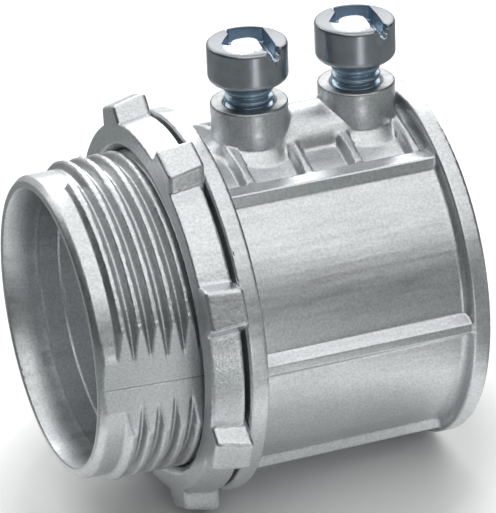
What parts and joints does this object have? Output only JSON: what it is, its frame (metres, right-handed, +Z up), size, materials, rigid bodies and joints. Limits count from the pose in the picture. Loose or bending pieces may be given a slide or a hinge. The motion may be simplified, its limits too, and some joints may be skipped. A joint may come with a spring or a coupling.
{
  "type": "set-screw conduit connector",
  "caption": "Cast zinc connector that joins thin-wall steel conduit to a box, with a threaded nipple, lugged locknut, ribbed barrel and set screws.",
  "frame": {"origin": "on the conduit's axis, in the plane of the shoulder face that seats on the box wall", "axes": "+X along the axis towards the conduit's entry, -X towards the nipple's free end, +Z up along the set screws"},
  "size_m": [0.0513, 0.0522, 0.061],
  "materials": {
    "cast_zinc": "bare zinc die casting, satin with fine grain",
    "plated_steel": "bright zinc plate with a faint blue tint"
  },
  "bodies": {
    "connector": {"connector_body": "cast_zinc"},
    "nut": {"locknut": "cast_zinc"},
    "front_screw": {"front_set_screw": "plated_steel"},
    "rear_screw": {"rear_set_screw": "plated_steel"}
  },
  "joints": [
    {"name": "locknut_travel", "type": "slide", "parent": "connector", "child": "nut", "axis": [-1, 0, 0], "range_m": [0, 0.013]},
    {"name": "front_screw_drive", "type": "slide", "parent": "connector", "child": "front_screw", "axis": [0, 0, -1], "range_m": [-0.004, 0.0028]},
    {"name": "rear_screw_drive", "type": "slide", "parent": "connector", "child": "rear_screw", "axis": [0, 0, -1], "range_m": [-0.004, 0.0031]}
  ]
}
